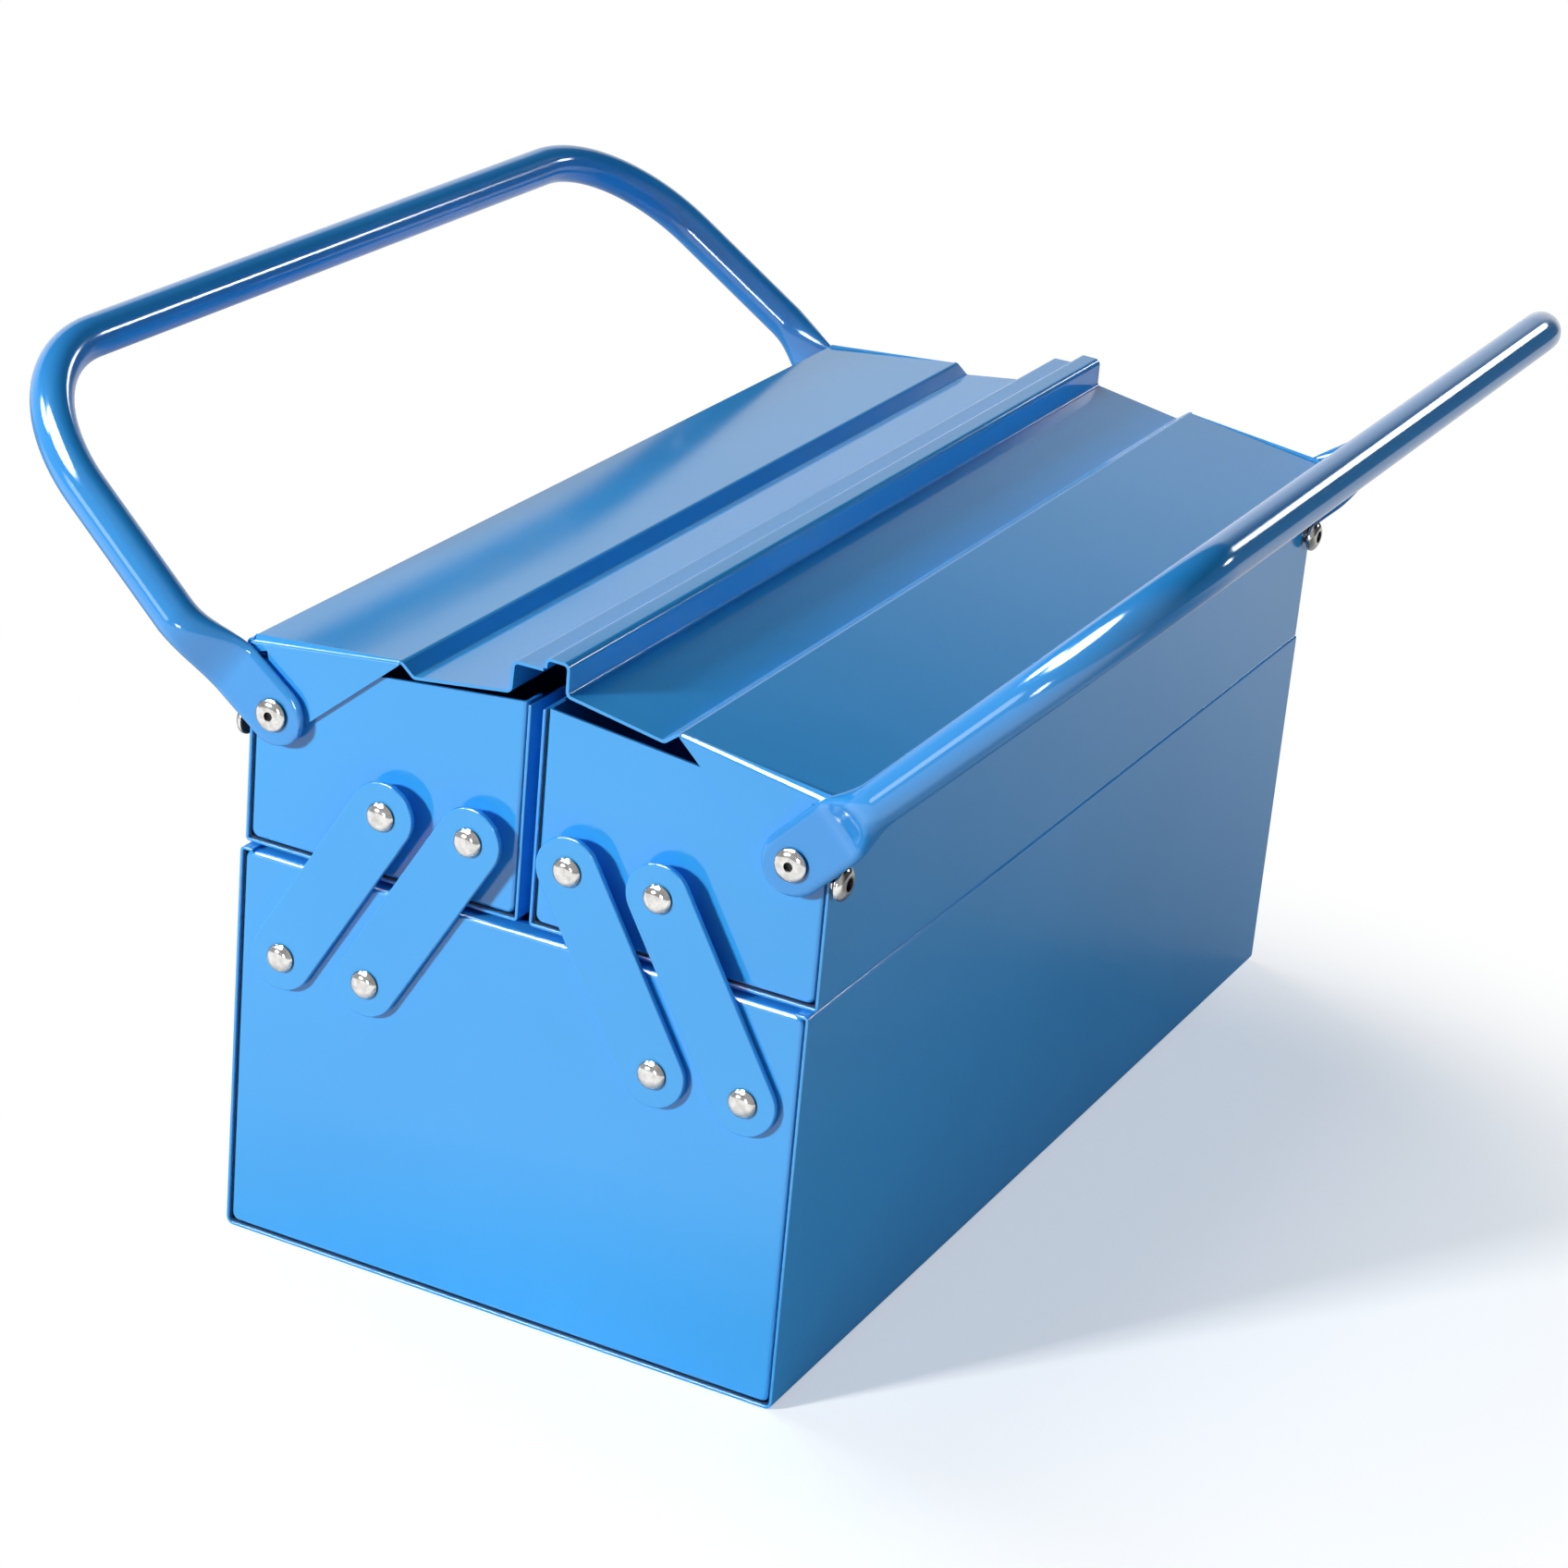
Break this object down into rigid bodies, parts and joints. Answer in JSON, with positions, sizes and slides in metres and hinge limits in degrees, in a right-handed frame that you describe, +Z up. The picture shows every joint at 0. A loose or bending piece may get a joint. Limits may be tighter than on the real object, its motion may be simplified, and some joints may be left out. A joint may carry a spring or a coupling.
{
  "type": "cantilever tool box",
  "caption": "Sheet steel tool box whose two upper trays swing out on parallel arms, with folding lids and tubular carrying handles.",
  "frame": {"origin": "middle of the underside of the base", "axes": "+X across the box to the right as seen from the front end, +Y along the box to the rear end, +Z up"},
  "size_m": [0.4016, 0.4232, 0.288],
  "materials": {
    "body_paint": "satin blue powder coat",
    "handle_paint": "gloss blue paint",
    "plating": "bright nickel plate"
  },
  "bodies": {
    "base": {"base_wrap": "body_paint", "base_front_end": "body_paint", "base_rear_end": "body_paint", "base_front_rivets": "plating", "base_rear_rivets": "plating"},
    "left_tray": {"left_tray_wrap": "body_paint", "left_tray_front_end": "body_paint", "left_tray_rear_end": "body_paint", "left_tray_arm_rivets": "plating", "left_hinge_rivets": "plating", "left_stop_studs": "plating"},
    "left_outer_arms": {"left_outer_arm_front": "body_paint", "left_outer_arm_rear": "body_paint"},
    "left_inner_arms": {"left_inner_arm_front": "body_paint", "left_inner_arm_rear": "body_paint"},
    "left_lid": {"left_lid": "body_paint"},
    "left_handle": {"left_handle": "handle_paint"},
    "right_tray": {"right_tray_wrap": "body_paint", "right_tray_front_end": "body_paint", "right_tray_rear_end": "body_paint", "right_tray_arm_rivets": "plating", "right_hinge_rivets": "plating", "right_stop_studs": "plating"},
    "right_outer_arms": {"right_outer_arm_front": "body_paint", "right_outer_arm_rear": "body_paint"},
    "right_inner_arms": {"right_inner_arm_front": "body_paint", "right_inner_arm_rear": "body_paint"},
    "right_lid": {"right_lid": "body_paint"},
    "right_handle": {"right_handle": "handle_paint"}
  },
  "joints": [
    {"name": "left_swing", "type": "hinge", "parent": "base", "child": "left_outer_arms", "pos_m": [-0.082, 0, 0.1013], "axis": [0, -1, 0], "range_deg": [0, 60.7]},
    {"name": "left_inner_swing", "type": "hinge", "parent": "base", "child": "left_inner_arms", "pos_m": [-0.051, 0, 0.1013], "axis": [0, -1, 0], "range_deg": [0, 60.7]},
    {"name": "left_tray_level", "type": "hinge", "parent": "left_outer_arms", "child": "left_tray", "pos_m": [-0.0483, 0, 0.1588], "axis": [0, -1, 0], "range_deg": [-60.7, 0]},
    {"name": "left_lid_hinge", "type": "hinge", "parent": "left_tray", "child": "left_lid", "pos_m": [-0.09, 0, 0.181], "axis": [0, -1, 0], "range_deg": [0, 84]},
    {"name": "left_handle_hinge", "type": "hinge", "parent": "left_tray", "child": "left_handle", "pos_m": [-0.09, 0, 0.181], "axis": [0, 1, 0], "range_deg": [0, 88]},
    {"name": "right_swing", "type": "hinge", "parent": "base", "child": "right_outer_arms", "pos_m": [0.082, 0, 0.1013], "axis": [0, 1, 0], "range_deg": [0, 60.7]},
    {"name": "right_inner_swing", "type": "hinge", "parent": "base", "child": "right_inner_arms", "pos_m": [0.051, 0, 0.1013], "axis": [0, 1, 0], "range_deg": [0, 60.7]},
    {"name": "right_tray_level", "type": "hinge", "parent": "right_outer_arms", "child": "right_tray", "pos_m": [0.0483, 0, 0.1588], "axis": [0, 1, 0], "range_deg": [-60.7, 0]},
    {"name": "right_lid_hinge", "type": "hinge", "parent": "right_tray", "child": "right_lid", "pos_m": [0.09, 0, 0.181], "axis": [0, 1, 0], "range_deg": [0, 81.6]},
    {"name": "right_handle_hinge", "type": "hinge", "parent": "right_tray", "child": "right_handle", "pos_m": [0.09, 0, 0.181], "axis": [0, -1, 0], "range_deg": [0, 79]}
  ],
  "couplings": [
    {"joint": "left_inner_swing", "follows": "left_swing", "ratio": 1},
    {"joint": "left_tray_level", "follows": "left_swing", "ratio": -1},
    {"joint": "right_inner_swing", "follows": "right_swing", "ratio": 1},
    {"joint": "right_tray_level", "follows": "right_swing", "ratio": -1}
  ]
}
